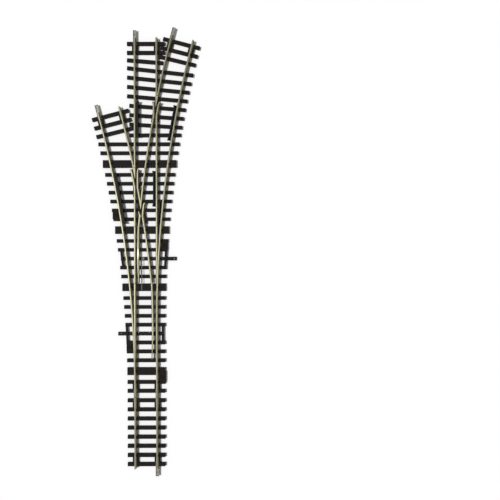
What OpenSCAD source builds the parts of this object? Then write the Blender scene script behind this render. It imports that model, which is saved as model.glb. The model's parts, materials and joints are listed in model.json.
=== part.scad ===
// Asymmetric three-way turnout in H0 scale with a short straight lead track joined to its toe.
// X runs across the track, Y along it from the lead track's outer end, Z up from the underside.

/* [Track geometry] */
// Gauge between the inner faces of the rail heads
gauge = 16.5; // [16.2:0.1:17.5]
// Radius of both branches on their centre lines
curve_radius = 873.5; // [760:0.5:1050]
// Angle that each branch turns through
branch_angle = 15; // [13:0.5:16]
// Length of the straight lead track
lead_length = 57.5; // [50:0.5:80]
// Length of the turnout along its straight track
turnout_length = 287.5; // [285:0.5:345]
// Straight stretch from the toe to the start of the left curve
curve_start = 3.9; // [2:0.1:6]
// Distance from the start of the left curve to the start of the right one
branch_stagger = 57.5; // [56:0.5:69]
// Gap between the butted rails of the lead track and the turnout
joint_gap = 0.4; // [0.2:0.1:1]

/* [Rail] */
// Height of the rail
rail_h = 2.1; // [1.9:0.1:2.6]
// Width of the rail head
head_w = 1; // [0.8:0.05:1.2]
// Width of the rail foot
foot_w = 1.9; // [1.7:0.1:2.3]
// Thickness of the rail web
web_w = 0.5; // [0.4:0.05:0.6]
// Length of a rail joiner
joiner_l = 12; // [10:0.5:14]
// Length of a joiner that stands out past the rail end
joiner_out = 6.4; // [5:0.1:7]

/* [Sleepers] */
// Thickness of the sleepers
sleeper_t = 2; // [1.8:0.1:2.6]
// Width of a single sleeper along the track
sleeper_w = 2.9; // [2.6:0.1:3.3]
// Width of a double sleeper along the track
double_w = 6.1; // [5.5:0.1:6.5]
// Length of sleeper outside the centre of the outer rail
sleeper_overhang = 6.4; // [5.5:0.1:7.5]
// Radius of the holes for track pins
pin_hole_r = 0.5; // [0.4:0.05:0.6]

/* [Switches] */
// Travel of the first throw bar
throw_1 = 2.05; // [1.8:0.05:2.2]
// Travel of the second throw bar
throw_2 = 1.25; // [1.1:0.05:1.35]
// Clearance between a closed blade and the rail that it lies against
blade_gap = 0.12; // [0.1:0.01:0.15]
// Width of the throw bars along the track
bar_w = 3; // [2.6:0.1:3.2]
// Thickness of the throw bars
bar_t = 1; // [0.8:0.05:1]
// How far the first throw bar's drive end stands out from the rail
bar_out_1 = 14; // [12:0.2:16]
// How far the second throw bar's drive end stands out from the rail
bar_out_2 = 15.4; // [14:0.2:18]
// Radius of the blade pivots
pivot_r = 0.7; // [0.5:0.05:0.75]
// Radius of the hole in each throw bar's drive tab
tab_hole_r = 0.6; // [0.5:0.05:0.8]

/* [Frogs] */
// Clear flangeway beside wing rails and check rails
flangeway = 1.25; // [1.1:0.05:1.4]
// Width of the moulded check rails
check_w = 1.1; // [0.9:0.05:1.2]

/* [Hidden] */

$fn = 48;
eps = 0.01;
arc_fn = 2880;

rail_colour = [0.62, 0.60, 0.50];
plastic_colour = [0.11, 0.10, 0.09];
steel_colour = [0.55, 0.56, 0.55];

// Lines of the track
R = curve_radius;
rail_x = (gauge + head_w) / 2;
toe_y = lead_length + joint_gap;
heel_y = toe_y + turnout_length;
left_y = toe_y + curve_start;
right_y = left_y + branch_stagger;
left_end_y = left_y + R * sin(branch_angle);
right_end_y = right_y + R * sin(branch_angle);

// A line is [branch, offset]: branch -1 curves left, 0 is straight, 1 curves right
LL = [-1, -rail_x];
LR = [-1, rail_x];
SL = [0, -rail_x];
SR = [0, rail_x];
RL = [1, -rail_x];
RR = [1, rail_x];

function line_start(line) = line[0] < 0 ? left_y : right_y;
function line_radius(line) = R - line[0] * line[1];
function line_run(line, y) = min(max(0, y - line_start(line)), line_radius(line) * sin(branch_angle));
function line_x(line, y) =
    line[0] == 0 ? line[1] : line[0] * (R - sqrt(pow(line_radius(line), 2) - pow(line_run(line, y), 2)));
function line_turn(line, y) =
    line[0] == 0 ? 0 : -line[0] * asin(line_run(line, y) / line_radius(line));
function line_angle(line, y) = abs(line_turn(line, y));
function line_point(line, y) = [line_x(line, y), y];
function line_end(line) =
    line[0] == 0 ? heel_y : line_start(line) + line_radius(line) * sin(branch_angle);

// Frog points, where the gauge faces of the crossing rails meet
frog_run = sqrt(2 * gauge * R);
left_frog_y = left_y + frog_run;
right_frog_y = right_y + frog_run;
crossing_half = sqrt(R * R + pow(branch_stagger / 2, 2));
crossing_rise = sqrt(pow(R + gauge / 2, 2) - pow(crossing_half, 2));
centre_frog_y = (left_y + right_y) / 2 + crossing_rise * R / crossing_half;

// Sleeper rows. The pitch of each row is the product's own
lead_first = 3.1;
lead_count = 8;
lead_pitch = (lead_length - 2 * lead_first) / (lead_count - 1);
pitch = 7.15;
double_step = 8.7;
toe_first = toe_y + 4.1;
double_1 = toe_first + pitch + double_step;
row_2 = double_1 + double_step;
bar_1_y = row_2 + 3 * pitch;
double_2 = row_2 + 7 * pitch + double_step;
row_3 = double_2 + double_step;
bar_2_y = row_3 + 2 * pitch;
double_3 = row_3 + 4 * pitch + double_step;
row_4 = double_3 + double_step;
double_4 = row_4 + 5 * pitch + double_step;
row_5 = double_4 + double_step;
fan_first = row_5 + 2 * pitch + 8;
end_first = 4.4;
end_pitch = 7.2;
fan_count = 7;
fan_last = heel_y - end_first - 2 * end_pitch - 6.8;
fan_pitch = (fan_last - fan_first) / (fan_count - 1);
sleeper_half = rail_x + sleeper_overhang;

singles = concat(
    [for (i = [0:1]) toe_first + i * pitch],
    [for (i = [0, 1, 2, 4, 5, 6, 7]) row_2 + i * pitch],
    [for (i = [0, 1, 3, 4]) row_3 + i * pitch],
    [for (i = [0:5]) row_4 + i * pitch],
    [for (i = [0:1]) row_5 + i * pitch]
);
doubles = [double_1, double_2, double_3, double_4];

// A sleeper is [centre y, width, tilt, left x, right x]
function spanning(y, w) = [y, w, 0, line_x(LL, y) - sleeper_overhang, line_x(RR, y) + sleeper_overhang];
fan_left = rail_x + 4.6;
sleepers = concat(
    [for (y = singles) spanning(y, sleeper_w)],
    [for (y = doubles) spanning(y, double_w)],
    [[row_5 + 2 * pitch, sleeper_w, 0, -fan_left, line_x(RR, row_5 + 2 * pitch) + sleeper_overhang]],
    [for (i = [0:fan_count - 1])
        let (y = fan_first + i * fan_pitch)
        [y, sleeper_w, -3.8 - 0.45 * i, i < 3 ? -fan_left : -sleeper_half,
         line_x(RR, y - 2) + sleeper_overhang]],
    [[heel_y - end_first - 2 * end_pitch, sleeper_w, -4.9, -sleeper_half, sleeper_half - 1.2]],
    [for (i = [0:1]) [heel_y - end_first - i * end_pitch, sleeper_w, 0, -sleeper_half, sleeper_half]]
);

// Heels of the blades and the insulated rail joints
joint_cut = 0.35;
tip_1 = double_1 + 10;
heel_1 = double_2 + double_w / 2;
tip_2 = heel_1 + 0.6;
heel_2 = double_3 + double_w / 2 + 0.2;
joint_1 = double_4 - double_w / 2 - 0.6;
nose_l = 9.2;
centre_nose_l = 7;
joint_2 = right_frog_y - 16;
arm_1 = double_2 - bar_1_y;
arm_2 = double_3 - bar_2_y;
open_1 = throw_1 / arm_1 * 180 / PI;
open_2 = throw_2 / arm_2 * 180 / PI;

// Heights
seat_z = sleeper_t;
top_z = seat_z + rail_h;
foot_edge_t = 0.3;
foot_rise = 0.5;
head_t = 0.6;
lift = 0.05;
wing_pitch = head_w + flangeway;
check_pitch = head_w / 2 + flangeway + check_w / 2;
web_strip_w = 1.4;
bar_z = 0.25;
bar_in = 5.2;
tab_inset = 2;
guide_z = bar_z + bar_t + 0.2;
wire_r = 0.25;
wire_x = -3.4;
wire_y0 = double_2 - 2;

// ---------- rail sections ----------

function half_section(foot, web, head, h) = [
    [foot, 0], [foot, foot_edge_t], [web, foot_rise],
    [web, h - head_t - 0.1], [head, h - head_t + 0.1], [head, h - 0.15], [head - 0.15, h]
];
function mirrored(points) = [for (i = [len(points) - 1:-1:0]) [-points[i][0], points[i][1]]];

module rail_section() {
    half = half_section(foot_w / 2, web_w / 2, head_w / 2, rail_h);
    polygon(concat(half, mirrored(half)));
}

// A blade's section is thickened on its running side so that the planed tip stays stiff
module blade_section(side) {
    half_f = foot_w / 2;
    half_h = head_w / 2;
    scale([side, 1])
        polygon([
            [-half_f, lift], [half_f, lift], [half_f, 0.75], [half_h, 1.15],
            [half_h, rail_h - 0.15], [half_h - 0.15, rail_h], [-half_h, rail_h],
            [-half_h, 0.55], [-half_f, foot_edge_t]
        ]);
}

// What is planed off a blade: everything on the far side of the stock rail's faces
module planing_section(side) {
    foot_x = foot_w / 2 + blade_gap;
    head_x = head_w / 2 + blade_gap;
    scale([side, 1])
        polygon([
            [-6, -1], [foot_x, -1], [foot_x, foot_rise + 0.1], [head_x, foot_rise + 0.1],
            [head_x, 4], [-6, 4]
        ]);
}

// Sweeps a section along a line from one y to another
module along(line, y0, y1) {
    start = line_start(line);
    straight_to = line[0] == 0 ? y1 : min(y1, start);
    if (y0 < straight_to)
        translate([line[1], straight_to, seat_z])
            rotate([90, 0, 0])
                linear_extrude(straight_to - y0)
                    children();
    if (line[0] != 0 && y1 > start) {
        a0 = line_angle(line, max(y0, start));
        a1 = line_angle(line, y1);
        translate([line[0] * R, start, seat_z])
            rotate([0, 0, line[0] < 0 ? a0 : 180 - a1])
                rotate_extrude(angle = a1 - a0, $fn = arc_fn)
                    translate([line_radius(line), 0])
                        scale([-line[0], 1])
                            children();
    }
}

module rail(line, y0, y1) {
    color(rail_colour)
        along(line, y0, y1)
            rail_section();
}

// One straight stretch of section between two points, mitred at both ends
module stretch(p, q, mitre_p, mitre_q) {
    run = norm(q - p);
    heading = atan2(q[0] - p[0], q[1] - p[1]);
    reach = 2;
    difference() {
        translate([p[0], p[1], seat_z])
            rotate([0, 0, -heading])
                translate([0, run + reach, 0])
                    rotate([90, 0, 0])
                        linear_extrude(run + 2 * reach)
                            children();
        translate([p[0], p[1], 0])
            rotate([0, 0, -mitre_p])
                translate([-10, -20, -1])
                    cube([20, 20, 10]);
        translate([q[0], q[1], 0])
            rotate([0, 0, -mitre_q])
                translate([-10, 0, -1])
                    cube([20, 20, 10]);
    }
}

function heading_of(p, q) = atan2(q[0] - p[0], q[1] - p[1]);
function line_points(line, y0, y1, count) =
    [for (i = [0:count]) line_point(line, y0 + (y1 - y0) * i / count)];

// A section swept through a list of points, mitred where it bends
module bent(points) {
    last = len(points) - 1;
    headings = [for (i = [0:last - 1]) heading_of(points[i], points[i + 1])];
    for (i = [0:last - 1])
        stretch(
            points[i], points[i + 1],
            i == 0 ? headings[0] : (headings[i - 1] + headings[i]) / 2,
            i == last - 1 ? headings[i] : (headings[i] + headings[i + 1]) / 2
        ) children();
}

// ---------- frogs ----------

// Knuckle where one line meets the wing line beside another
function straight_knuckle(line, shift) =
    line_start(line) + sqrt(pow(line_radius(line) - abs(shift), 2) - pow(R - rail_x, 2));
function curved_knuckle(line, shift) =
    line_start(line) + sqrt(pow(line_radius(line), 2) - pow(R - rail_x + abs(shift), 2));
function centre_knuckle() =
    let (r = R + rail_x, s = r - wing_pitch, d = 2 * crossing_half)
    let (a = (r * r - s * s + d * d) / (2 * d), h = sqrt(r * r - a * a))
    [r, a, h, d];
// Crossing of the circle round one branch's centre with the wing circle of the other
function centre_knuckle_point(own) =
    let (k = centre_knuckle())
    let (ox = own * R, oy = own < 0 ? left_y : right_y)
    let (ux = -own * 2 * R / k[3], uy = -own * branch_stagger / k[3])
    [ox + ux * k[1] - abs(ux) / ux * uy * k[2], oy + uy * k[1] + abs(ux) * k[2]];

left_frog_left_knuckle = straight_knuckle(LR, wing_pitch);
left_frog_right_knuckle = curved_knuckle(LR, wing_pitch);
right_frog_right_knuckle = straight_knuckle(RL, wing_pitch);
right_frog_left_knuckle = curved_knuckle(RL, wing_pitch);
flare_l = 2.2;
flare_out = 0.55;
wing_end = 8.2;

// Points of a wing that runs beside a line at one wing pitch and flares away at its end
function wing_points(line, side, from_y, to_y) = [
    [line_x(line, (from_y + to_y) / 2) + side * wing_pitch, (from_y + to_y) / 2],
    [line_x(line, to_y - flare_l) + side * wing_pitch, to_y - flare_l],
    [line_x(line, to_y) + side * (wing_pitch + flare_out), to_y]
];

module wing_rail(points) {
    color(rail_colour)
        bent(points)
            rail_section();
}

// Outline of a nose between the gauge faces of its two legs, from the blunt point to the legs' ends
function gauge_face(line, side, y) = line_x(line, y) + side * head_w / 2 / cos(line_angle(line, y));
function nose_side(line, side, y0, y1, extra, count) =
    [for (i = [0:count]) let (y = y0 + (y1 - y0) * i / count) [gauge_face(line, side, y) + side * extra, y]];
function reversed(points) = [for (i = [len(points) - 1:-1:0]) points[i]];

module nose_plan(left_line, right_line, y0, y1, extra) {
    left = nose_side(left_line, -1, y0, y1, extra, 6);
    right = nose_side(right_line, 1, y0, y1, extra, 6);
    polygon(concat(left, reversed(right)));
}

module nose(left_line, right_line, frog_y, length) {
    y0 = frog_y + 0.8;
    y1 = frog_y + length;
    flange = (foot_w - head_w) / 2;
    color(steel_colour) {
        translate([0, 0, seat_z])
            linear_extrude(0.4)
                nose_plan(left_line, right_line, y0, y1, flange);
        translate([0, 0, seat_z + 0.4 - eps])
            linear_extrude(rail_h - 0.4 + eps)
                nose_plan(left_line, right_line, y0, y1, 0);
    }
}

// A rail that starts behind a nose, cut away beside the other leg's rail
splice_gap = 0.05;
module splice_rail(line, other, y0, y1) {
    foot_x = foot_w / 2 + splice_gap;
    head_x = head_w / 2 + splice_gap;
    color(rail_colour)
        difference() {
            along(line, y0, y1)
                rail_section();
            along(other, y0 - 1, y0 + 14)
                translate([0, -1]) {
                    translate([-foot_x, 0])
                        square([2 * foot_x, foot_rise + 1.2]);
                    translate([-head_x, 0])
                        square([2 * head_x, rail_h + 2]);
                }
        }
}

// ---------- blades ----------

module about(point, angle) {
    translate([point[0], point[1], 0])
        rotate([0, 0, angle])
            translate([-point[0], -point[1], 0])
                children();
}

// Blades are milled in short straight cuts that follow their lines
module milled(line, y0, y1) {
    bent(line_points(line, y0, y1, line[0] == 0 ? 1 : ceil((y1 - y0) / 10)))
        children();
}

module blade(line, stock, side, y0, y1) {
    color(rail_colour)
        difference() {
            milled(line, y0, y1)
                blade_section(side);
            milled(stock, y0 - 1, y1)
                planing_section(side);
        }
}

// The pivot and the drive pin that are riveted into a blade's foot
drive_r = 0.4;
drive_in = 0.35;
slot_gap = 0.06;
module blade_pins(line, side, pivot_y, drive_y) {
    color(steel_colour) {
        translate([line_x(line, pivot_y), pivot_y, 0.4])
            cylinder(r = pivot_r, h = seat_z + lift - 0.4);
        translate([line_x(line, drive_y) + side * drive_in, drive_y, bar_z + 0.15])
            cylinder(r = drive_r, h = seat_z + lift - bar_z - 0.15);
    }
}

// A throw bar with a slot round each drive pin and a drive tab at one end
module throw_bar(y, x0, x1, pins, tab_x) {
    slot_r = drive_r + slot_gap;
    slot_run = 0.25;
    color(plastic_colour)
        difference() {
            translate([x0, y - bar_w / 2, bar_z])
                cube([x1 - x0, bar_w, bar_t]);
            for (x = pins) {
                translate([x - slot_r, y - slot_run, bar_z - 1])
                    cube([2 * slot_r, 2 * slot_run, bar_t + 2]);
                for (s = [-1, 1])
                    translate([x, y + s * slot_run, bar_z - 1])
                        cylinder(r = slot_r, h = bar_t + 2);
            }
            translate([tab_x, y, bar_z - 1])
                cylinder(r = tab_hole_r, h = bar_t + 2);
            children();
        }
}

// ---------- sleeper mouldings ----------

module sleeper(s) {
    translate([0, s[0], 0])
        rotate([0, 0, s[2]])
            translate([s[3], -s[1] / 2, 0])
                cube([s[4] - s[3], s[1], sleeper_t]);
}

// Where a tilted sleeper crosses a line
function cross_y(s, line) =
    let (y1 = s[0] + tan(s[2]) * line_x(line, s[0]))
    s[0] + tan(s[2]) * line_x(line, y1);

// The stretches in which each line is a fixed rail with chairs of its own
lines = [
    [LL, toe_y, left_end_y + 9],
    [RR, toe_y, right_end_y + 9],
    [SL, heel_1, heel_y],
    [SR, heel_2, heel_y],
    [LR, heel_1, left_end_y + 9],
    [RL, heel_2, right_end_y + 9]
];
crossings = [[LR, RL, centre_frog_y], [LR, SL, left_frog_y], [RL, SR, right_frog_y]];
// A check rail is [line, side, first y, last y, flare at its first end]
flare = 0.6;
checks = [
    [LL, 1, centre_frog_y - 11, centre_frog_y + 29, flare],
    [SL, 1, right_frog_y - 23.5, right_frog_y + 5.5, flare],
    [SR, -1, left_frog_y - 21.5, left_frog_y + 7, flare],
    [RR, -1, heel_2 + 0.8, centre_frog_y + 6, 0],
    [RR, -1, right_frog_y - 26, right_frog_y + 2, flare]
];
chair_w = 1.1;
chair_l = 1.6;
chair_gap = 0.05;
chair_room = foot_w / 2 + chair_w + foot_w / 2 + 0.4;

function near_frog(line, y) =
    len([for (c = crossings) if ((c[0] == line || c[1] == line) && y > c[2] - 14 && y < c[2] + 9.6) 1]) > 0;
function check_x(c, y) = line_x(c[0], y) + c[1] * check_pitch / cos(line_angle(c[0], y));
function beside_check(line, side, y) =
    let (x = line_x(line, y) + side * (foot_w / 2 + chair_w / 2))
    let (room = (chair_w + check_w) / 2 + 0.5)
    len([for (c = checks)
        if (y > c[2] - 1.5 && y < c[3] + 1.5 && abs(x - check_x(c, y)) < room) 1]) > 0;
function crowded(line, side, y) =
    len([for (m = [LL, LR, SL, SR, RL, RR])
        let (d = (line_x(m, y) - line_x(line, y)) * side)
        let (runs_here = m != line && y > first_y(m) && y < line_end(m) + 1)
        if (runs_here && d > -0.2 && d - swing(m, y) < chair_room) 1]) > 0;
// How far the second switch's right blade swings towards its neighbour
function swing(line, y) = line == SR && y < heel_2 ? (heel_2 - y) * throw_2 / arm_2 : 0;
function first_y(line) =
    line == LL || line == RR ? toe_y : line == SL || line == LR ? tip_1 - 3 : tip_2 - 3;
function near_joiner(line, y) = y < toe_y + joiner_l - joiner_out + 1
    || y > line_end(line) - (joiner_l - joiner_out) - 1;
function has_chair(line, side, y) =
    !near_frog(line, y) && !beside_check(line, side, y) && !crowded(line, side, y) && !near_joiner(line, y);

module chair(line, side, y) {
    x0 = foot_w / 2 + chair_gap;
    translate([line_x(line, y), y, seat_z - eps])
        rotate([0, 0, line_turn(line, y)])
            scale([side, 1, 1])
                translate([0, chair_l / 2, 0])
                    rotate([90, 0, 0])
                        linear_extrude(chair_l)
                            polygon([
                                [x0, 0], [x0 + chair_w, 0], [x0 + chair_w, 0.35],
                                [x0 + 0.1, 0.85], [x0 - 0.3, 0.85], [x0 - 0.3, 0.62], [x0, 0.5]
                            ]);
}

module chairs_on(s) {
    for (row = lines) {
        y = cross_y(s, row[0]);
        x = line_x(row[0], y);
        if (y > row[1] && y < row[2] && x > s[3] && x < s[4])
            for (side = [-1, 1])
                if (has_chair(row[0], side, y))
                    chair(row[0], side, y);
    }
}

// Hidden strip under a rail that ties the sleepers together
module strip(line, y0, y1) {
    along(line, y0, y1)
        translate([-web_strip_w / 2, -sleeper_t + 0.4])
            square([web_strip_w, sleeper_t - 0.8]);
}

// The wide web between the first two sleepers at a track end
web_pair_w = 4.6;
module end_web(line, y0, y1) {
    along(line, y0, y1)
        translate([-web_pair_w / 2, -sleeper_t + 0.2])
            square([web_pair_w, sleeper_t - 0.2]);
}

// Three sleepers square to the end of a branch
module branch_end_panel(branch) {
    start = branch < 0 ? left_y : right_y;
    back = [for (i = [0:2]) branch_angle - (end_first + i * end_pitch) / R * 180 / PI];
    translate([branch * R, start, 0]) {
        for (i = [0:2])
            rotate([0, 0, -branch * back[i]])
                translate([-branch * R - sleeper_half, -sleeper_w / 2, 0])
                    cube([2 * sleeper_half, sleeper_w, sleeper_t]);
    }
    for (i = [1, 2])
        for (line = branch < 0 ? [LL, LR] : [RL, RR])
            for (side = [-1, 1])
                chair(line, side, line_start(line) + line_radius(line) * sin(back[i]));
}

module branch_end_webs(branch) {
    for (line = branch < 0 ? [LL, LR] : [RL, RR]) {
        run = line_radius(line);
        a0 = branch_angle - (end_first + end_pitch) / R * 180 / PI;
        a1 = branch_angle - end_first / R * 180 / PI;
        end_web(line, line_start(line) + run * sin(a0), line_start(line) + run * sin(a1));
    }
}

// Room in the first sleeper for a joiner under the rail
module joiner_room(line, y0, y1) {
    along(line, y0, y1)
        translate([-joiner_w / 2 - 0.2, -joiner_t - 0.15])
            square([joiner_w + 0.4, joiner_t + 0.16]);
}

// Block that fills the space between two sleepers at their outer end, with a screw hole
module drive_pad(side, y0, y1, out) {
    line = side < 0 ? LL : RR;
    mid = (y0 + y1) / 2;
    x_out = line_x(line, mid) + side * (sleeper_overhang + out);
    x_in = line_x(line, mid) + side * (foot_w / 2 + 0.4);
    translate([min(x_in, x_out), y0, 0])
        cube([abs(x_out - x_in), y1 - y0, sleeper_t]);
}
function pad_hole(side, mid) = [line_x(side < 0 ? LL : RR, mid) + side * 4.2, mid];
pads = [
    [1, toe_first + pitch, double_1, 0.5],
    [-1, row_2 + pitch, row_2 + 2 * pitch, 0],
    [1, row_3 + 3 * pitch, row_3 + 4 * pitch, 0],
    [-1, row_4, row_4 + pitch, 0]
];

// Strips that bridge the throw bars, each with its outer edge set in from the sleeper ends
guide_w = 1.8;
guide_in = 0.1;
short_end_1_in = 1;
short_end_2_in = 1.6;
module bar_guide(side, y0, y1, inset = guide_in) {
    line = side < 0 ? LL : RR;
    p = [line_x(line, y0) + side * (sleeper_overhang - guide_w / 2 - inset), y0];
    q = [line_x(line, y1) + side * (sleeper_overhang - guide_w / 2 - inset), y1];
    run = norm(q - p);
    translate([p[0], p[1], guide_z])
        rotate([0, 0, -heading_of(p, q)])
            translate([-guide_w / 2, 0, 0])
                cube([guide_w, run, sleeper_t - guide_z]);
}

// Bed that fills the space under the wings and the nose of a frog
module frog_bed(y0, y1, left_line, right_line, margin) {
    ys = [for (i = [0:4]) y0 + (y1 - y0) * i / 4];
    left = [for (y = ys) [min(line_x(left_line, y), line_x(right_line, y)) - margin, y]];
    right = [for (y = ys) [max(line_x(left_line, y), line_x(right_line, y)) + margin, y]];
    translate([0, 0, 0.6])
        linear_extrude(sleeper_t - 0.6)
            polygon(concat(left, reversed(right)));
}

joiner_w = foot_w + 0.7;
joiner_t = 0.25;
pin_holes = [[0, double_1], [0, double_2], [3.2, double_3], [4.5, double_4]];

module sleeper_base() {
    color(plastic_colour)
        difference() {
            union() {
                for (s = sleepers) {
                    sleeper(s);
                    chairs_on(s);
                }
                for (branch = [-1, 1]) {
                    branch_end_panel(branch);
                    branch_end_webs(branch);
                }
                for (line = [SL, SR])
                    end_web(line, heel_y - end_first - end_pitch, heel_y - end_first);
                for (line = [SL, SR])
                    end_web(line, toe_first, toe_first + pitch);
                strip(LL, toe_first, left_end_y - end_first - 8);
                strip(RR, toe_first, right_end_y - end_first - 8);
                strip(SL, heel_1 - 2, heel_y - end_first);
                strip(SR, heel_2 - 2, heel_y - end_first);
                for (p = pads)
                    drive_pad(p[0], p[1], p[2], p[3]);
                bar_guide(-1, bar_1_y - pitch, bar_1_y + pitch);
                bar_guide(1, bar_1_y - pitch, bar_1_y + pitch, short_end_1_in);
                bar_guide(-1, bar_2_y - pitch, bar_2_y + pitch, short_end_2_in);
                bar_guide(1, bar_2_y - pitch, bar_2_y + pitch);
                frog_bed(centre_frog_y - 11, centre_frog_y + 8, LR, RL, 2.2);
                frog_bed(left_frog_y - 14, left_frog_y + 9, LR, SL, 1.6);
                frog_bed(right_frog_y - 11, right_frog_y + 9, RL, SR, 1.6);
            }
            for (y = [bar_1_y, bar_2_y])
                translate([-40, y - bar_w / 2 - 0.3, -1])
                    cube([80, bar_w + 0.6, guide_z + 1]);
            for (blade_line = [[SL, double_2], [LR, double_2], [RL, double_3], [SR, double_3]])
                translate([line_x(blade_line[0], blade_line[1]), blade_line[1], -1])
                    cylinder(r = pivot_r + 0.05, h = sleeper_t + 3);
            for (p = pads)
                translate(concat(pad_hole(p[0], (p[1] + p[2]) / 2), -1))
                    cylinder(r = pin_hole_r, h = sleeper_t + 2);
            translate([wire_x, wire_y0, seat_z - 1.3])
                cylinder(r = wire_r + 0.05, h = 3);
            for (p = pin_holes)
                translate([p[0], p[1], -1])
                    cylinder(r = pin_hole_r, h = sleeper_t + 2);
            joiner_room(SR, toe_y, toe_y + joiner_out + 0.3);
            joiner_room(SL, toe_y, toe_y + joiner_l - joiner_out + 0.3);
            joiner_room(SL, heel_y - (joiner_l - joiner_out) - 0.3, heel_y + 2);
            for (line = [LL, RL])
                joiner_room(line, line_end(line) - (joiner_l - joiner_out) - 0.3, line_end(line));
        }
}

module lead_sleeper_base() {
    color(plastic_colour)
        difference() {
            union() {
                for (i = [0:lead_count - 1]) {
                    y = lead_first + i * lead_pitch;
                    sleeper([y, sleeper_w, 0, -sleeper_half, sleeper_half]);
                    if (i > 0 && i < lead_count - 1)
                        for (line = [SL, SR])
                            for (side = [-1, 1])
                                chair(line, side, y);
                }
                for (line = [SL, SR]) {
                    strip(line, lead_first, lead_length - lead_first);
                    end_web(line, lead_first, lead_first + lead_pitch);
                    end_web(line, lead_length - lead_first - lead_pitch, lead_length - lead_first);
                }
            }
            joiner_room(SR, -1, joiner_l - joiner_out + 0.3);
            joiner_room(SL, toe_y - joiner_out - 0.7, lead_length + 1);
            joiner_room(SR, toe_y - joiner_l + joiner_out - 0.7, lead_length + 1);
        }
}

// ---------- joiners ----------

module joiner_section() {
    half = joiner_w / 2;
    inner = foot_w / 2 + 0.08;
    polygon([
        [-half, -joiner_t], [half, -joiner_t], [half, 0.75], [inner - 0.45, 0.85],
        [inner - 0.45, 0.62], [inner, 0.5], [inner, 0],
        [-inner, 0], [-inner, 0.5], [-inner + 0.45, 0.62], [-inner + 0.45, 0.85], [-half, 0.75]
    ]);
}

module joiner(line, y0, y1) {
    color(steel_colour)
        along(line, y0, y1)
            joiner_section();
}

// A joiner on the end of a branch: on the curve up to its end, then straight on
module branch_joiner(line) {
    y1 = line_end(line);
    y0 = y1 - (joiner_l - joiner_out) * cos(branch_angle);
    color(steel_colour) {
        along(line, y0, y1)
            joiner_section();
        translate([line_x(line, y1), y1, seat_z])
            rotate([0, 0, line_turn(line, y1)])
                translate([0, joiner_out, 0])
                    rotate([90, 0, 0])
                        linear_extrude(joiner_out + eps)
                            joiner_section();
    }
}

// ---------- check rails ----------

check_base_t = 0.5;
check_base_gap = 0.1;

// Check rail on a base that reaches across the bottom of the flangeway to its running rail
module check_rail(c) {
    count = 10;
    flare_run = 3;
    last = count + 2;
    ys = concat(
        [c[2]],
        [for (i = [0:count]) c[2] + flare_run + (c[3] - c[2] - 2 * flare_run) * i / count],
        [c[3]]
    );
    flares = [for (i = [0:last]) i == 0 ? c[4] : i == last ? flare : 0];
    xs = [for (i = [0:last]) check_x(c, ys[i]) + c[1] * flares[i]];
    // The left side keeps clear of the straight track's right rail
    clear_x = c[0] == RR ? rail_x + foot_w / 2 + 0.1 : -100;
    left = [for (i = [0:last]) [max(clear_x, xs[i] - check_w / 2), ys[i]]];
    right = [for (i = [0:last]) [xs[i] + check_w / 2, ys[i]]];
    reach = c[1] * (foot_w / 2 + check_base_gap);
    rail_side = [for (y = ys) [line_x(c[0], y) + reach / cos(line_angle(c[0], y)), y]];
    check_side = [for (i = [0:last]) [max(clear_x, xs[i]), ys[i]]];
    color(plastic_colour)
        translate([0, 0, seat_z]) {
            linear_extrude(rail_h - 0.1)
                polygon(concat(left, reversed(right)));
            linear_extrude(check_base_t)
                polygon(concat(rail_side, reversed(check_side)));
        }
}

// ---------- pieces ----------

module lead_left_rail() { rail(SL, 0, lead_length); }
module lead_right_rail() { rail(SR, 0, lead_length); }
module left_stock_rail() { rail(LL, toe_y, line_end(LL)); }
module right_stock_rail() { rail(RR, toe_y, line_end(RR)); }

module switch_1_left_blade() { blade(SL, LL, 1, tip_1, heel_1); }
module switch_1_left_pins() { blade_pins(SL, 1, double_2, bar_1_y); }
module switch_1_right_blade() {
    about(line_point(LR, double_2), -open_1)
        blade(LR, RR, -1, tip_1, heel_1);
}
module switch_1_right_pins() {
    about(line_point(LR, double_2), -open_1)
        blade_pins(LR, -1, double_2, bar_1_y);
}
module switch_2_left_blade() {
    about(line_point(RL, double_3), open_2)
        blade(RL, SL, 1, tip_2, heel_2 - joint_cut);
}
module switch_2_left_pins() {
    about(line_point(RL, double_3), open_2)
        blade_pins(RL, 1, double_3, bar_2_y);
}
module switch_2_right_blade() { blade(SR, RR, -1, tip_2, heel_2 - joint_cut); }
module switch_2_right_pins() { blade_pins(SR, -1, double_3, bar_2_y); }

module throw_bar_1() {
    throw_bar(
        bar_1_y, -rail_x - bar_out_1, rail_x + bar_in,
        [-rail_x + drive_in, line_x(LR, bar_1_y) - drive_in - throw_1],
        -rail_x - bar_out_1 + tab_inset
    );
}
module throw_bar_2() {
    throw_bar(
        bar_2_y, line_x(LL, bar_2_y) - bar_in, rail_x + bar_out_2,
        [line_x(RL, bar_2_y) + drive_in + throw_2, rail_x - drive_in],
        rail_x + bar_out_2 - tab_inset
    )
        translate([wire_x - 0.4, bar_2_y - 0.6, bar_z - 1])
            cube([throw_2 + 0.8, 1.2, bar_t + 2]);
}

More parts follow.
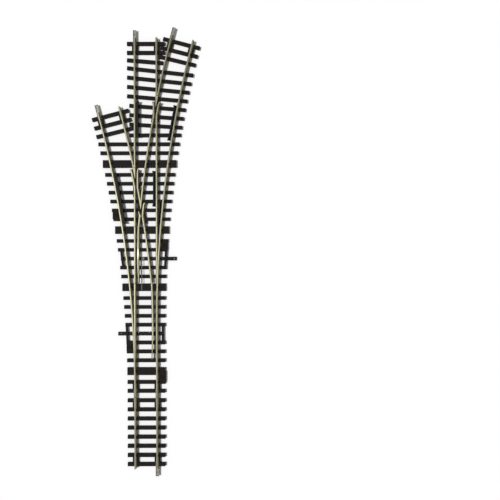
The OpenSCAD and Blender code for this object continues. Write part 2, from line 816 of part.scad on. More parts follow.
module straight_left_closure_rail() { rail(SL, heel_1 + joint_cut, heel_2 - joint_cut); }
module left_branch_closure_rail() { rail(LR, heel_1 + joint_cut, heel_2 - joint_cut); }
module straight_right_closure_rail() { rail(SR, heel_2, joint_2 - joint_cut); }
module right_branch_closure_rail() {
    splice_rail(RL, LR, centre_frog_y + centre_nose_l + 0.1, joint_1 - joint_cut);
}
module right_branch_middle_rail() { rail(RL, joint_1, joint_2 - joint_cut); }
module left_branch_right_rail() { splice_rail(LR, SL, left_frog_y + nose_l + joint_cut, line_end(LR)); }
module straight_left_heel_rail() { rail(SL, left_frog_y + nose_l + joint_cut, heel_y); }
module right_branch_left_rail() { splice_rail(RL, SR, right_frog_y + nose_l + joint_cut, line_end(RL)); }
module straight_right_heel_rail() { rail(SR, right_frog_y + nose_l + joint_cut, heel_y); }

module centre_frog_left_wing() {
    knuckle = centre_knuckle_point(1);
    wing_rail(concat(
        line_points(RL, heel_2, knuckle[1], 1),
        wing_points(LR, -1, knuckle[1], centre_frog_y - 1.6)
    ));
}
module centre_frog_right_wing() {
    knuckle = centre_knuckle_point(-1);
    wing_rail(concat(
        line_points(LR, heel_2, knuckle[1], 1),
        wing_points(RL, 1, knuckle[1], centre_frog_y + 5.6)
    ));
}
module centre_frog_nose() { nose(LR, RL, centre_frog_y, centre_nose_l); }

module left_frog_left_wing() {
    wing_rail(concat(
        line_points(SL, heel_2, left_frog_left_knuckle, 1),
        wing_points(LR, -1, left_frog_left_knuckle, left_frog_y + wing_end)
    ));
}
module left_frog_right_wing() {
    wing_rail(concat(
        line_points(LR, centre_frog_y + centre_nose_l + 0.1, left_frog_right_knuckle, 2),
        wing_points(SL, 1, left_frog_right_knuckle, left_frog_y + wing_end)
    ));
}
module left_frog_nose() { nose(LR, SL, left_frog_y, nose_l); }

module right_frog_left_wing() {
    wing_rail(concat(
        line_points(RL, joint_2, right_frog_left_knuckle, 1),
        wing_points(SR, -1, right_frog_left_knuckle, right_frog_y + wing_end - 3.2)
    ));
}
module right_frog_right_wing() {
    wing_rail(concat(
        line_points(SR, joint_2, right_frog_right_knuckle, 1),
        wing_points(RL, 1, right_frog_right_knuckle, right_frog_y + wing_end - 3.8)
    ));
}
module right_frog_nose() { nose(SR, RL, right_frog_y, nose_l); }

module left_stock_check_rail() { check_rail(checks[0]); }
module straight_left_check_rail() { check_rail(checks[1]); }
module straight_right_check_rail() { check_rail(checks[2]); }
module right_stock_check_rail() { check_rail(checks[3]); }
module right_branch_check_rail() { check_rail(checks[4]); }

// Slips of plastic in the insulated rail joints
module insulating_slips() {
    slips = [
        [SL, heel_2 - joint_cut], [LR, heel_2 - joint_cut], [RL, joint_1 - joint_cut],
        [SR, joint_2 - joint_cut], [RL, joint_2 - joint_cut]
    ];
    color(plastic_colour)
        for (s = slips)
            along(s[0], s[1] + 0.04, s[1] + joint_cut - 0.04)
                rail_section();
}

// Spring wire that snaps the second throw bar into its end positions
module detent_wire() {
    wire_z = seat_z + wire_r;
    color(steel_colour) {
        translate([wire_x, wire_y0, wire_z])
            rotate([-90, 0, 0])
                cylinder(r = wire_r, h = bar_2_y - wire_y0);
        for (end = [[wire_y0, seat_z - 1.2], [bar_2_y, bar_z + 0.15]]) {
            translate([wire_x, end[0], wire_z])
                sphere(r = wire_r);
            translate([wire_x, end[0], end[1]])
                cylinder(r = wire_r, h = wire_z - end[1]);
        }
    }
}

module toe_joiner() { joiner(SR, -joiner_out, joiner_l - joiner_out); }
module straight_heel_joiner() { joiner(SL, heel_y - joiner_l + joiner_out, heel_y + joiner_out); }
module left_heel_joiner() { branch_joiner(LL); }
module right_heel_joiner() { branch_joiner(RL); }
module lead_joiners() {
    joiner(SL, toe_y - joiner_out, toe_y + joiner_l - joiner_out);
    joiner(SR, toe_y - joiner_l + joiner_out, toe_y + joiner_out);
}

sleeper_base();
lead_sleeper_base();
lead_left_rail();
lead_right_rail();
left_stock_rail();
right_stock_rail();
switch_1_left_blade();
switch_1_right_blade();
switch_2_left_blade();
switch_2_right_blade();
switch_1_left_pins();
switch_1_right_pins();
switch_2_left_pins();
switch_2_right_pins();
throw_bar_1();
throw_bar_2();
straight_left_closure_rail();
straight_right_closure_rail();
left_branch_closure_rail();
right_branch_closure_rail();
centre_frog_left_wing();
centre_frog_right_wing();
centre_frog_nose();
left_frog_left_wing();
left_frog_right_wing();
left_frog_nose();
right_frog_left_wing();
right_frog_right_wing();
right_frog_nose();
right_branch_middle_rail();
left_branch_right_rail();
right_branch_left_rail();
straight_left_heel_rail();
straight_right_heel_rail();
left_stock_check_rail();
straight_left_check_rail();
straight_right_check_rail();
right_stock_check_rail();
right_branch_check_rail();
insulating_slips();
detent_wire();
toe_joiner();
straight_heel_joiner();
left_heel_joiner();
right_heel_joiner();
lead_joiners();
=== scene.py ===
"""Finishes and small fittings for a three-way track turnout, around its fixed frame of rails and sleepers."""
import json
import math

import bmesh
import bpy
from mathutils import Matrix, Vector


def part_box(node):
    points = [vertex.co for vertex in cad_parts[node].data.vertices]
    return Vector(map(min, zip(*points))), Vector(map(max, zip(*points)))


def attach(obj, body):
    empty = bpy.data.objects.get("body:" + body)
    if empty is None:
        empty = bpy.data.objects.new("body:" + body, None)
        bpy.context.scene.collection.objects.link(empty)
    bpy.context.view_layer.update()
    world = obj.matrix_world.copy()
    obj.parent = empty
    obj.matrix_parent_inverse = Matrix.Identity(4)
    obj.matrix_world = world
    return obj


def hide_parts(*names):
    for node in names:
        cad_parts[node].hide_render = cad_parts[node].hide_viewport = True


bl_info = {
    "name": "Three-way Turnout",
    "version": (1, 0, 0),
    "blender": (4, 5, 0),
    "location": "View3D > Sidebar > Turnout",
    "description": "Finishes a model three-way turnout: sleepers, rails, joiners, bolts and a plain studio",
    "category": "Object",
}

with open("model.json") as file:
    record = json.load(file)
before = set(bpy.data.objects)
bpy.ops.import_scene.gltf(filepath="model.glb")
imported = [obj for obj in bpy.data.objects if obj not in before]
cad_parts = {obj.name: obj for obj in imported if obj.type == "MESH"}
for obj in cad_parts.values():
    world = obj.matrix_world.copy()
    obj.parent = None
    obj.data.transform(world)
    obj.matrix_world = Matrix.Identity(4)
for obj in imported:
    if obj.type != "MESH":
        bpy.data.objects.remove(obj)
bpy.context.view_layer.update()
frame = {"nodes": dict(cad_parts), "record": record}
NODES = frame["nodes"]
MOUNTS = {mount["name"]: mount for mount in frame["record"]["mounts"]}
MM = 0.001

SLEEPER_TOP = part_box("left_stock_rail")[0].z
RAIL_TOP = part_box("left_stock_rail")[1].z
RAILS = [name for name in NODES if name.endswith(("_rail", "_wing", "_blade")) and "check" not in name]
CHECK_RAILS = [name for name in NODES if name.endswith("check_rail")]
NOSES = [name for name in NODES if name.endswith("_nose")]
STEEL_PARTS = [name for name in NODES if name.endswith("_pins")] + ["detent_wire"]
BARS = ["throw_bar_1", "throw_bar_2"]
BASES = ["sleeper_base", "lead_sleeper_base"]


class TurnoutSizes(bpy.types.PropertyGroup):
    """Sizes of the small fittings."""

    bolt_radius: bpy.props.FloatProperty(
        name="Bolt radius", description="Radius of the bolt heads on the chairs", default=0.27 * MM, unit="LENGTH")
    bolt_height: bpy.props.FloatProperty(
        name="Bolt height", description="Height of the bolt heads on the chairs", default=0.34 * MM, unit="LENGTH")
    joiner_sheet: bpy.props.FloatProperty(
        name="Joiner sheet", description="Thickness of the joiners' sheet", default=0.22 * MM, unit="LENGTH")


class TurnoutColours(bpy.types.PropertyGroup):
    """Colours of the finishes."""

    sleeper: bpy.props.FloatVectorProperty(
        name="Sleepers", description="Moulded black-brown plastic", default=(0.0066, 0.0050, 0.0042),
        subtype="COLOR", min=0, max=1)
    moulding: bpy.props.FloatVectorProperty(
        name="Mouldings", description="Black plastic of the check rails and throw bars",
        default=(0.0042, 0.0037, 0.0034), subtype="COLOR", min=0, max=1)
    rail_head: bpy.props.FloatVectorProperty(
        name="Rail heads", description="Running face of the nickel silver rails", default=(0.215, 0.205, 0.140),
        subtype="COLOR", min=0, max=1)
    rail_side: bpy.props.FloatVectorProperty(
        name="Rail sides", description="Dulled sides and feet of the rails", default=(0.190, 0.172, 0.110),
        subtype="COLOR", min=0, max=1)
    joiner: bpy.props.FloatVectorProperty(
        name="Joiners", description="Folded sheet of the rail joiners", default=(0.150, 0.150, 0.130),
        subtype="COLOR", min=0, max=1)
    floor: bpy.props.FloatVectorProperty(
        name="Floor", description="Plain white ground", default=(0.965, 0.965, 0.965), subtype="COLOR", min=0, max=1)


class TurnoutStudio(bpy.types.PropertyGroup):
    """Camera and lights."""

    camera_height: bpy.props.FloatProperty(
        name="Camera height", description="Height of the camera over the ground", default=0.42, unit="LENGTH")
    scale_at_rails: bpy.props.FloatProperty(
        name="Scale", description="Image widths that one metre at rail height spans", default=2.504)
    aim: bpy.props.FloatVectorProperty(
        name="Aim", description="Point on the ground under the camera", default=(0.0834, 0.1751), size=2,
        unit="LENGTH")
    camera_roll: bpy.props.FloatProperty(
        name="Camera roll", description="Turn of the camera about its line of sight", default=math.radians(-0.12),
        unit="ROTATION")
    sun_elevation: bpy.props.FloatProperty(
        name="Sun elevation", description="Height of the key light over the horizon", default=math.radians(62),
        unit="ROTATION")
    sun_power: bpy.props.FloatProperty(
        name="Sun power", description="Strength of the key light", default=2.75)
    fill: bpy.props.FloatProperty(
        name="Fill", description="Strength of the soft light from all round", default=0.27)


# ---------- shader maths ----------


class Wire:
    """A number on its way through a material: sums and products of wires add Math nodes."""

    def __init__(self, paint, socket):
        self.paint = paint
        self.socket = socket

    def _math(self, operation, *values):
        return self.paint.node("ShaderNodeMath", {"operation": operation}, *values).wire()

    def __add__(self, other):
        return self._math("ADD", self, other)

    def __sub__(self, other):
        return self._math("SUBTRACT", self, other)

    def __rsub__(self, other):
        return self._math("SUBTRACT", other, self)

    def __mul__(self, other):
        return self._math("MULTIPLY", self, other)

    def __pow__(self, other):
        return self._math("POWER", self, other)

    __radd__ = __add__
    __rmul__ = __mul__

    def absolute(self):
        return self._math("ABSOLUTE", self)

    def step(self, low, high):
        """0 below low, 1 above high and smooth between."""
        settings = {"interpolation_type": "SMOOTHSTEP"}
        return self.paint.node("ShaderNodeMapRange", settings, self, low, high).wire()


class Step:
    """One node of a material, whose outputs are read as wires."""

    def __init__(self, paint, node):
        self.paint = paint
        self.node = node

    def wire(self, output=0):
        return Wire(self.paint, self.node.outputs[output])


class Paint:
    """A material under construction, with its surface shader at hand."""

    def __init__(self, name):
        self.material = bpy.data.materials.new(name)
        self.material.use_nodes = True
        self.tree = self.material.node_tree
        self.surface = self.tree.nodes["Principled BSDF"]
        self.place = self.node("ShaderNodeTexCoord").wire("Object")

    def node(self, kind, settings=None, *inputs, **named):
        """Adds a node, sets its settings first and then its inputs, each a value or a wire."""
        node = self.tree.nodes.new(kind)
        for key, value in (settings or {}).items():
            setattr(node, key, value)
        for key, value in list(enumerate(inputs)) + list(named.items()):
            socket = node.inputs[key]
            if isinstance(value, Wire):
                self.tree.links.new(value.socket, socket)
            else:
                socket.default_value = value
        return Step(self, node)

    def set(self, **sockets):
        """Sets the surface's inputs, each a value or a wire."""
        for key, value in sockets.items():
            socket = self.surface.inputs[key.replace("_", " ")]
            if isinstance(value, Wire):
                self.tree.links.new(value.socket, socket)
            else:
                socket.default_value = value

    def axis(self, name):
        return self.node("ShaderNodeSeparateXYZ", None, self.place).wire(name)

    def stretched(self, stretch, turn=0.0):
        """The object coordinates, stretched along each axis and turned about Z."""
        return self.node("ShaderNodeMapping", None, self.place, (0, 0, 0), (0, 0, turn), stretch).wire()

    def noise(self, scale, detail=3.0, rough=0.55, where=None):
        named = {"Vector": where or self.place, "Scale": scale, "Detail": detail, "Roughness": rough}
        return self.node("ShaderNodeTexNoise", None, **named).wire("Fac")

    def mix(self, factor, first, second):
        """Mixes two colours, each a wire or (red, green, blue)."""
        first, second = (c if isinstance(c, Wire) else (*c, 1.0) for c in (first, second))
        step = self.node("ShaderNodeMix", {"data_type": "RGBA"})
        for index, value in ((0, factor), (6, first), (7, second)):
            socket = step.node.inputs[index]
            if isinstance(value, Wire):
                self.tree.links.new(value.socket, socket)
            else:
                socket.default_value = value
        return step.wire(2)

    def bump(self, height, distance, strength=1.0):
        named = {"Height": height, "Distance": distance, "Strength": strength}
        return self.node("ShaderNodeBump", None, **named).wire()


def tint(colour, gain):
    """The colour, brighter or darker."""
    return tuple(channel * gain for channel in colour)


# ---------- finishes ----------


def sleeper_finish(colours):
    """Moulded plastic with the fine grain of timber along each sleeper and a little track dust."""
    paint = Paint("timber_moulding")
    grain = paint.noise(900, 5, 0.6, paint.stretched((0.10, 1.3, 1.3)))
    fibres = paint.noise(2600, 3, 0.65, paint.stretched((0.05, 1.6, 1.6)))
    dust = paint.noise(130, 4, 0.6).step(0.46, 0.72)
    batches = paint.noise(24, 2)
    base = tuple(colours.sleeper)
    brown = paint.mix(grain.step(0.35, 0.7), tint(base, 0.72), tint(base, 1.45))
    toned = paint.mix(batches.step(0.4, 0.65), brown, tint(base, 1.15))
    coloured = paint.mix(dust * 0.2, toned, (0.030, 0.027, 0.022))
    paint.set(Base_Color=coloured, Roughness=0.50 + 0.16 * grain + 0.10 * dust, Specular_IOR_Level=0.08)
    paint.set(Normal=paint.bump(grain * 0.7 + fibres * 0.3, 0.10 * MM, 0.9))
    return paint.material


def moulding_finish(colours, name):
    """Black plastic from a polished mould, with faint flow marks and a painted sheen that lightens the tops near rail
    height.
    """
    paint = Paint(name)
    flow = paint.noise(420, 3, 0.5, paint.stretched((1.0, 0.22, 1.0)))
    specks = paint.noise(2800, 2, 0.6)
    # painted sheen: a mask of the tops that stand near rail height
    painted_top_sheen = paint.axis("Z").step(RAIL_TOP - 0.35 * MM, RAIL_TOP - 0.05 * MM)
    base = tuple(colours.moulding)
    body = paint.mix(flow.step(0.4, 0.7), base, tint(base, 1.8))
    # painted sheen: the tops are lightened up to four times the base colour, patchily along the flow marks
    body_with_painted_sheen = paint.mix(painted_top_sheen * flow * 0.5, body, tint(base, 4.0))
    paint.set(Base_Color=body_with_painted_sheen, Roughness=0.38 + 0.14 * flow, Specular_IOR_Level=0.08)
    paint.set(Normal=paint.bump(flow * 0.6 + specks * 0.4, 0.03 * MM, 0.7))
    return paint.material


def rail_finish(colours):
    """Drawn nickel silver: a bright polished running face over olive, dulled sides and feet."""
    paint = Paint("nickel_silver")
    height = paint.axis("Z")
    running = height.step(RAIL_TOP - 0.12 * MM, RAIL_TOP - 0.02 * MM)
    streaks = paint.noise(1500, 4, 0.6, paint.stretched((1.6, 0.03, 1.0)))
    scratches = paint.noise(5200, 2, 0.5, paint.stretched((1.0, 0.015, 1.0)))
    tarnish = paint.noise(210, 4, 0.6)
    patches = paint.noise(45, 3, 0.5)
    head = tuple(colours.rail_head)
    side = tuple(colours.rail_side)
    bright = paint.mix(tarnish.step(0.42, 0.75), head, tint(head, 0.72))
    bright = paint.mix(streaks.step(0.5, 0.8) * 0.5, bright, tint(head, 1.25))
    dull = paint.mix(patches.step(0.38, 0.62), side, tint(side, 0.62))
    dull = paint.mix(tarnish.step(0.5, 0.7) * 0.6, dull, tint(side, 1.5))
    paint.set(Base_Color=paint.mix(running, dull, bright))
    paint.set(Metallic=0.80 + 0.20 * running)
    paint.set(Roughness=0.50 - 0.20 * running + 0.06 * tarnish + 0.04 * scratches)
    paint.set(Normal=paint.bump(streaks * 0.6 + scratches * 0.4, 0.012 * MM, 0.6))
    return paint.material


def nose_finish(colours):
    """Milled nickel silver with cutter marks across the nose, and painted shade darkening its flanks towards the foot.
    """
    paint = Paint("milled_nickel_silver")
    marks = paint.noise(2400, 3, 0.5, paint.stretched((0.12, 1.0, 1.0), 0.35))
    stain = paint.noise(260, 4, 0.6)
    head = tuple(colours.rail_head)
    # painted shade: 0 at the nose's foot, 1 just under its running face
    low = paint.axis("Z").step(SLEEPER_TOP + 0.4 * MM, RAIL_TOP - 0.1 * MM)
    metal = paint.mix(stain.step(0.4, 0.7), tint(head, 0.95), tint(head, 0.62))
    # painted shade: the flanks fall to about a third of the metal's colour towards the foot
    paint.set(Base_Color=paint.mix(low, tint(head, 0.35), metal), Metallic=1.0)
    paint.set(Roughness=0.36 + 0.16 * marks, Normal=paint.bump(marks, 0.012 * MM, 0.6))
    return paint.material


def joiner_finish(colours):
    """Thin folded sheet, dulled by handling, with rolling marks along it."""
    paint = Paint("folded_sheet")
    rolled = paint.noise(1700, 3, 0.5, paint.stretched((1.4, 0.05, 1.0)))
    stain = paint.noise(420, 4, 0.65)
    base = tuple(colours.joiner)
    metal = paint.mix(stain.step(0.38, 0.72), tint(base, 1.25), tint(base, 0.55))
    paint.set(Base_Color=metal, Metallic=0.9, Roughness=0.40 + 0.22 * stain)
    paint.set(Normal=paint.bump(rolled, 0.015 * MM, 0.6))
    return paint.material


def steel_finish():
    """Drawn steel wire with a faint oil film."""
    paint = Paint("drawn_steel")
    drawn = paint.noise(3000, 2, 0.5, paint.stretched((1.0, 0.04, 1.0)))
    stain = paint.noise(500, 3, 0.6)
    metal = paint.mix(stain.step(0.4, 0.7), (0.14, 0.135, 0.12), (0.07, 0.066, 0.06))
    paint.set(Base_Color=metal, Metallic=1.0, Roughness=0.32 + 0.2 * stain)
    paint.set(Normal=paint.bump(drawn, 0.01 * MM, 0.5))
    return paint.material


def bright_rivet_finish():
    """Plated rivet heads."""
    paint = Paint("plated_rivet")
    stain = paint.noise(900, 3, 0.6)
    paint.set(Base_Color=paint.mix(stain, (0.62, 0.61, 0.56), (0.40, 0.39, 0.35)))
    paint.set(Metallic=1.0, Roughness=0.26 + 0.2 * stain)
    return paint.material


def ground_finish(colours):
    """Plain white board."""
    paint = Paint("ground")
    paint.set(Base_Color=(*colours.floor, 1.0), Roughness=1.0, Specular_IOR_Level=0.0)
    return paint.material


def dress(names, material):
    """Puts one material on CAD nodes."""
    for name in names:
        mesh = NODES[name].data
        mesh.materials.clear()
        mesh.materials.append(material)


# ---------- modelling helpers ----------


def deselect():
    if bpy.context.object and bpy.context.object.mode != "OBJECT":
        bpy.ops.object.mode_set(mode="OBJECT")
    bpy.ops.object.select_all(action="DESELECT")


def only(piece):
    deselect()
    piece.select_set(True)
    bpy.context.view_layer.objects.active = piece


def pick_faces(piece, test):
    """Selects the faces whose centre and normal pass the test. The piece is in edit mode."""
    work = bmesh.from_edit_mesh(piece.data)
    for face in work.faces:
        face.select_set(False)
    for face in work.faces:
        if test(face.calc_center_median(), face.normal):
            face.select_set(True)
    work.select_flush_mode()
    bmesh.update_edit_mesh(piece.data)


def pick_edges(piece, test):
    """Selects the edges whose two ends pass the test. The piece is in edit mode."""
    work = bmesh.from_edit_mesh(piece.data)
    for part in (work.faces, work.edges, work.verts):
        for item in part:
            item.select_set(False)
    for edge in work.edges:
        edge.select_set(test(edge.verts[0].co, edge.verts[1].co))
    bmesh.update_edit_mesh(piece.data)


def finish_modifiers(piece):
    only(piece)
    for modifier in list(piece.modifiers):
        bpy.ops.object.modifier_apply(modifier=modifier.name)


def smooth(piece, angle=35):
    only(piece)
    bpy.ops.object.shade_smooth_by_angle(angle=math.radians(angle))


def settle(piece, material, body="track"):
    """Applies the piece's place, then gives it its material, slot and body."""
    only(piece)
    bpy.ops.object.transform_apply(location=True, rotation=True, scale=True)
    piece.data.materials.clear()
    piece.data.materials.append(material)
    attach(piece, body)
    return piece


def join(pieces, name):
    deselect()
    for piece in pieces:
        piece.select_set(True)
    bpy.context.view_layer.objects.active = pieces[0]
    bpy.ops.object.join()
    pieces[0].name = name
    return pieces[0]


def copied(piece, place):
    """A copy with a mesh of its own, moved by a matrix."""
    twin = piece.copy()
    twin.data = piece.data.copy()
    twin.data.transform(place)
    bpy.context.scene.collection.objects.link(twin)
    return twin


def material(name):
    return bpy.data.materials[name]


# ---------- chair bolts ----------


def chair_places(node):
    """Centre and outward direction of every chair's clip, found on the moulding itself."""
    mesh = NODES[node].data
    clip_top = SLEEPER_TOP + 0.84 * MM
    corners = {}
    groups = []
    for face in mesh.polygons:
        if face.normal.z > 0.99 and abs(face.center.z - clip_top) < 0.02 * MM:
            keys = {tuple(round(c / MM, 2) for c in mesh.vertices[v].co) for v in face.vertices}
            touching = {id(corners[k]): corners[k] for k in keys if k in corners}
            merged = set(keys).union(*touching.values())
            groups = [g for g in groups if id(g) not in touching] + [merged]
            for key in merged:
                corners[key] = merged
    ledge = [v.co.copy() for v in mesh.vertices if abs(v.co.z - (SLEEPER_TOP + 0.34 * MM)) < 0.02 * MM]
    places = []
    for group in groups:
        points = [Vector(key) * MM for key in group]
        centre = sum(points, Vector()) / len(points)
        near = [v for v in ledge if (v - centre).xy.length < 1.45 * MM]
        if near:
            out = sum(near, Vector()) / len(near) - centre
            out.z = 0
            places.append((centre, out.normalized()))
    return places


def bolt_head(sizes):
    """Hexagon bolt head on a washer, its top chamfered, standing on the ground."""
    deselect()
    radius, height = sizes.bolt_radius, sizes.bolt_height
    bpy.ops.mesh.primitive_cylinder_add(vertices=6, radius=radius, depth=height, location=(0, 0, height / 2))
    head = bpy.context.object
    bpy.ops.object.transform_apply(location=True)
    bpy.ops.object.mode_set(mode="EDIT")
    pick_faces(head, lambda centre, normal: normal.z > 0.9)
    bpy.ops.mesh.inset(thickness=radius * 0.22, depth=radius * 0.14)
    pick_faces(head, lambda centre, normal: normal.z < -0.9)
    bpy.ops.mesh.extrude_region_move(TRANSFORM_OT_translate={"value": (0, 0, -0.06 * MM)})
    bpy.ops.transform.resize(value=(1.25, 1.25, 1))
    bpy.ops.object.mode_set(mode="OBJECT")
    return head


class TURNOUT_OT_bolts(bpy.types.Operator):
    """Sets a bolt head on the ledge of every chair"""

    bl_idname = "turnout.bolts"
    bl_label = "Chair Bolts"

    def execute(self, context):
        sizes = context.scene.turnout_sizes
        head = bolt_head(sizes)
        for node in BASES:
            heads = []
            for centre, out in chair_places(node):
                spot = centre + out * 0.62 * MM
                spot.z = SLEEPER_TOP + 0.42 * MM
                turn = Matrix.Rotation(math.atan2(out.y, out.x), 4, "Z")
                heads.append(copied(head, Matrix.Translation(spot) @ turn))
            settle(join(heads, node + "_chair_bolts"), material("timber_moulding"))
        bpy.data.objects.remove(head)
        return {"FINISHED"}


# ---------- rail joiners ----------


def folded_joiner(sizes, box, centre, heading, name):
    """A strip of sheet folded up and in along both sides."""
    low, high = box
    half_w = min(high.x - low.x, 2.6 * MM) / 2
    length = 12 * MM
    floor_z = low.z
    side_h = high.z - low.z
    deselect()
    bpy.ops.mesh.primitive_grid_add(x_subdivisions=4, y_subdivisions=9, size=1, location=(0, 0, 0))
    strip = bpy.context.object
    strip.name = name
    strip.scale = (2 * half_w - sizes.joiner_sheet, length, 1)
    bpy.ops.object.transform_apply(scale=True)
    bpy.ops.object.mode_set(mode="EDIT")
    edge = half_w - sizes.joiner_sheet
    pick_edges(strip, lambda a, b: abs(a.x) > edge and abs(b.x) > edge and a.x * b.x > 0)
    rise = side_h - sizes.joiner_sheet - 0.1 * MM
    bpy.ops.mesh.extrude_region_move(TRANSFORM_OT_translate={"value": (0, 0, rise)})
    lip = 0.42 * MM
    for side in (-1, 1):
        pick_edges(strip, lambda a, b: min(a.z, b.z) > rise * 0.9 and a.x * side > 0 and b.x * side > 0)
        bpy.ops.mesh.extrude_region_move(TRANSFORM_OT_translate={"value": (-side * lip, 0, 0.08 * MM)})
    bpy.ops.object.mode_set(mode="OBJECT")
    fold = strip.modifiers.new("sheet", "SOLIDIFY")
    fold.thickness = sizes.joiner_sheet
    fold.offset = 0
    rounding = strip.modifiers.new("folds", "BEVEL")
    rounding.width = 0.09 * MM
    rounding.segments = 2
    rounding.limit_method = "ANGLE"
    rounding.angle_limit = math.radians(40)
    finish_modifiers(strip)
    smooth(strip)
    place = Matrix.Translation((centre.x, centre.y, floor_z + sizes.joiner_sheet / 2))
    strip.matrix_world = place @ Matrix.Rotation(heading, 4, "Z")
    return strip


class TURNOUT_OT_joiners(bpy.types.Operator):
    """Folds the rail joiners at every track end and at the joint of the lead track"""

    bl_idname = "turnout.joiners"
    bl_label = "Rail Joiners"

    def execute(self, context):
        sizes = context.scene.turnout_sizes
        ends = {
            "toe_joiner": "toe_joint",
            "straight_heel_joiner": "straight_heel_joint",
            "left_heel_joiner": "left_heel_joint",
            "right_heel_joiner": "right_heel_joint",
        }
        for node, mount in ends.items():
            axis = MOUNTS[mount]["axis"]
            heading = math.atan2(-axis[0], axis[1]) if axis[1] > 0 else 0.0
            low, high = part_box(node)
            piece = folded_joiner(sizes, (low, high), (low + high) / 2, heading, node + "_folded")
            settle(piece, material("folded_sheet"))
            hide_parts(node)
        low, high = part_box("lead_joiners")
        half = 1.3 * MM
        pair = []
        for index, x in enumerate((low.x + half, high.x - half)):
            shift = 0.4 * MM if index == 0 else -0.4 * MM
            centre = Vector((x, (low.y + high.y) / 2 + shift, 0))
            pair.append(folded_joiner(sizes, (low, high), centre, 0.0, "lead_joiner_%d" % index))
        piece = join(pair, "lead_joiners_folded")
        settle(piece, material("folded_sheet"))
        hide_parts("lead_joiners")
        return {"FINISHED"}


# ---------- rivets and small mouldings ----------------------


def rivet(radius, height, name):
    """A domed rivet head on a thin flange, standing on the ground."""
    deselect()
    bpy.ops.mesh.primitive_cylinder_add(vertices=20, radius=radius, depth=height * 0.3, location=(0, 0, height * 0.15))
    head = bpy.context.object
    head.name = name
    bpy.ops.object.transform_apply(location=True)
    bpy.ops.object.mode_set(mode="EDIT")
    for rise, shrink in ((0.25, 0.88), (0.28, 0.66), (0.17, 0.36)):
        pick_faces(head, lambda centre, normal: normal.z > 0.9)
        bpy.ops.mesh.extrude_region_move(TRANSFORM_OT_translate={"value": (0, 0, rise * height)})
        bpy.ops.transform.resize(value=(shrink, shrink, 1))
    bpy.ops.object.mode_set(mode="OBJECT")
    smooth(head, 50)
    return head


class TURNOUT_OT_rivets(bpy.types.Operator):
    """Sets the rivet heads of the contact springs on the throw bars, beside each blade"""

    bl_idname = "turnout.rivets"
    bl_label = "Bar Rivets"

    def execute(self, context):
        reach = 1.75 * MM
        for number, bar in enumerate(BARS, 1):
            low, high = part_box(bar)
            heads = []
            for side, hand in ((1, "left"), (-1, "right")):
                pins_low, pins_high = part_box("switch_%d_%s_pins" % (number, hand))
                blade = pins_high.x if side > 0 else pins_low.x
                spot = (blade + side * reach, (low.y + high.y) / 2 + 1.05 * MM, high.z)
                head = rivet(0.42 * MM, 0.55 * MM, bar + "_rivet_" + hand)
                head.data.transform(Matrix.Translation(spot))
                heads.append(head)
            settle(join(heads, bar + "_rivets"), material("plated_rivet"), bar)
        return {"FINISHED"}


def pad_relief(sizes, hole):
    """Raised collar round a drive pad's screw hole with a rib on both sides, standing on the ground."""
    deselect()
    collar = 1.15 * MM
    rise = 0.22 * MM
    bpy.ops.mesh.primitive_circle_add(vertices=32, radius=hole * 1.15, fill_type="NOTHING")
    ring = bpy.context.object
    bpy.ops.object.mode_set(mode="EDIT")
    bpy.ops.mesh.select_all(action="SELECT")
    bpy.ops.mesh.extrude_edges_move()
    grow = collar / (hole * 1.15)
    bpy.ops.transform.resize(value=(grow, grow, 1))
    bpy.ops.mesh.select_all(action="SELECT")
    bpy.ops.mesh.extrude_region_move(TRANSFORM_OT_translate={"value": (0, 0, rise)})
    bpy.ops.mesh.select_all(action="SELECT")
    bpy.ops.mesh.normals_make_consistent(inside=False)
    bpy.ops.object.mode_set(mode="OBJECT")
    parts = [ring]
    for side in (-1, 1):
        deselect()
        bpy.ops.mesh.primitive_cube_add(size=1, location=(side * 1.55 * MM, 0, rise * 0.7), scale=(0.4 * MM, 3.4 * MM, rise * 1.4))
        rib = bpy.context.object
        bpy.ops.object.transform_apply(location=True, scale=True)
        bpy.ops.object.mode_set(mode="EDIT")
        pick_faces(rib, lambda centre, normal: normal.z > 0.9)
        bpy.ops.mesh.inset(thickness=0.08 * MM, depth=0.06 * MM)
        bpy.ops.object.mode_set(mode="OBJECT")
        parts.append(rib)
    return join(parts, "pad_relief")


class TURNOUT_OT_pads(bpy.types.Operator):
    """Adds the moulded relief round the screw holes of the drive pads"""

    bl_idname = "turnout.pads"
    bl_label = "Pad Relief"

    def execute(self, context):
        sizes = context.scene.turnout_sizes
        mounts = [mount for name, mount in sorted(MOUNTS.items()) if name.startswith("drive_pad_hole")]
        reliefs = []
        for mount in mounts:
            x, y, z = mount["pos_m"]
            relief = pad_relief(sizes, mount["dims"]["r_mm"] * MM)
            relief.data.transform(Matrix.Translation((x, y, SLEEPER_TOP)))
            reliefs.append(relief)
        settle(join(reliefs, "drive_pad_relief"), material("timber_moulding"))
        return {"FINISHED"}


# ---------- finishes on the frame ----------


class TURNOUT_OT_finishes(bpy.types.Operator):
    """Makes every finish and puts it on the frame's own pieces"""

    bl_idname = "turnout.finishes"
    bl_label = "Finishes"

    def execute(self, context):
        colours = context.scene.turnout_colours
        dress(BASES, sleeper_finish(colours))
        dress(CHECK_RAILS, moulding_finish(colours, "check_rail_moulding"))
        dress(BARS, moulding_finish(colours, "throw_bar_moulding"))
        dress(["insulating_slips"], moulding_finish(colours, "slip_moulding"))
        dress(RAILS, rail_finish(colours))
        dress(NOSES, nose_finish(colours))
        dress(STEEL_PARTS, steel_finish())
        joiner_finish(colours)
        bright_rivet_finish()
        return {"FINISHED"}


# ---------- studio ----------


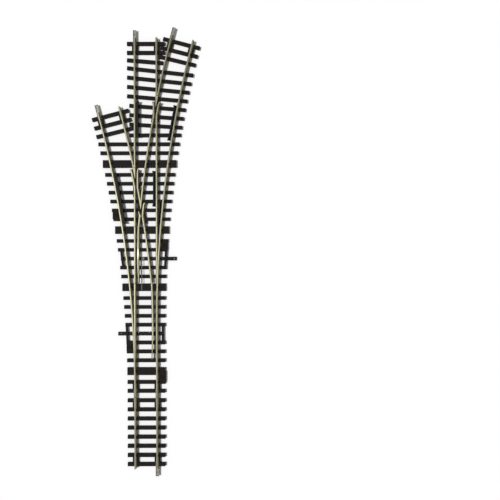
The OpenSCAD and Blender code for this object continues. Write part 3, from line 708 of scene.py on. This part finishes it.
class TURNOUT_OT_stage(bpy.types.Operator):
    """Lays the white ground and sets the lights and the camera"""

    bl_idname = "turnout.stage"
    bl_label = "Studio"

    def execute(self, context):
        studio = context.scene.turnout_studio
        self.ground(context)
        self.light(context, studio)
        self.camera(context, studio)
        context.scene.view_settings.view_transform = "Standard"
        return {"FINISHED"}

    def ground(self, context):
        deselect()
        bpy.ops.mesh.primitive_plane_add(size=8, location=(0, 0.17, -0.00002))
        board = context.object
        board.name = "ground"
        bpy.ops.object.transform_apply(location=True)
        board.data.materials.append(ground_finish(context.scene.turnout_colours))

    def light(self, context, studio):
        deselect()
        tilt = math.pi / 2 - studio.sun_elevation
        bpy.ops.object.light_add(type="SUN", location=(-0.4, 0.17, 0.7), rotation=(0, -tilt, 0))
        sun = context.object
        sun.data.energy = studio.sun_power
        sun.data.angle = math.radians(12)
        world = bpy.data.worlds.new("studio")
        world.use_nodes = True
        context.scene.world = world
        tree = world.node_tree
        sky = tree.nodes["Background"]
        path = tree.nodes.new("ShaderNodeLightPath")
        seen = tree.nodes.new("ShaderNodeMath")
        seen.operation = "MAXIMUM"
        direct = tree.nodes.new("ShaderNodeMath")
        direct.operation = "MAXIMUM"
        level = tree.nodes.new("ShaderNodeMapRange")
        level.inputs["To Min"].default_value = studio.fill
        level.inputs["To Max"].default_value = 1.0
        tree.links.new(path.outputs["Is Glossy Ray"], seen.inputs[0])
        tree.links.new(path.outputs["Is Transmission Ray"], seen.inputs[1])
        tree.links.new(seen.outputs[0], direct.inputs[0])
        tree.links.new(path.outputs["Is Camera Ray"], direct.inputs[1])
        tree.links.new(direct.outputs[0], level.inputs["Value"])
        tree.links.new(level.outputs["Result"], sky.inputs["Strength"])
        sky.inputs["Color"].default_value = (1, 1, 1, 1)

    def camera(self, context, studio):
        deselect()
        bpy.ops.object.camera_add(
            location=(*studio.aim, studio.camera_height), rotation=(0, 0, studio.camera_roll))
        eye = context.object
        eye.data.sensor_width = 36
        eye.data.lens = 36 * studio.scale_at_rails * (studio.camera_height - RAIL_TOP)
        eye.data.clip_start = 0.01
        context.scene.camera = eye


class TURNOUT_PT_panel(bpy.types.Panel):
    """Lists the turnout's operators and settings"""

    bl_label = "Turnout"
    bl_space_type = "VIEW_3D"
    bl_region_type = "UI"
    bl_category = "Turnout"

    def draw(self, context):
        for operator in OPERATORS:
            self.layout.operator(operator.bl_idname)
        for group in (context.scene.turnout_sizes, context.scene.turnout_colours, context.scene.turnout_studio):
            for key in group.__annotations__:
                self.layout.prop(group, key)


OPERATORS = (TURNOUT_OT_stage, TURNOUT_OT_finishes, TURNOUT_OT_bolts, TURNOUT_OT_joiners,
             TURNOUT_OT_rivets, TURNOUT_OT_pads)
CLASSES = (TurnoutSizes, TurnoutColours, TurnoutStudio, *OPERATORS, TURNOUT_PT_panel)


def register():
    for cls in CLASSES:
        bpy.utils.register_class(cls)
    bpy.types.Scene.turnout_sizes = bpy.props.PointerProperty(type=TurnoutSizes)
    bpy.types.Scene.turnout_colours = bpy.props.PointerProperty(type=TurnoutColours)
    bpy.types.Scene.turnout_studio = bpy.props.PointerProperty(type=TurnoutStudio)


def unregister():
    del bpy.types.Scene.turnout_sizes
    del bpy.types.Scene.turnout_colours
    del bpy.types.Scene.turnout_studio
    for cls in reversed(CLASSES):
        bpy.utils.unregister_class(cls)


def main():
    register()
    bpy.ops.turnout.stage()
    bpy.ops.turnout.finishes()
    bpy.ops.turnout.bolts()
    bpy.ops.turnout.joiners()
    bpy.ops.turnout.rivets()
    bpy.ops.turnout.pads()


if __name__ == "__main__":
    main()
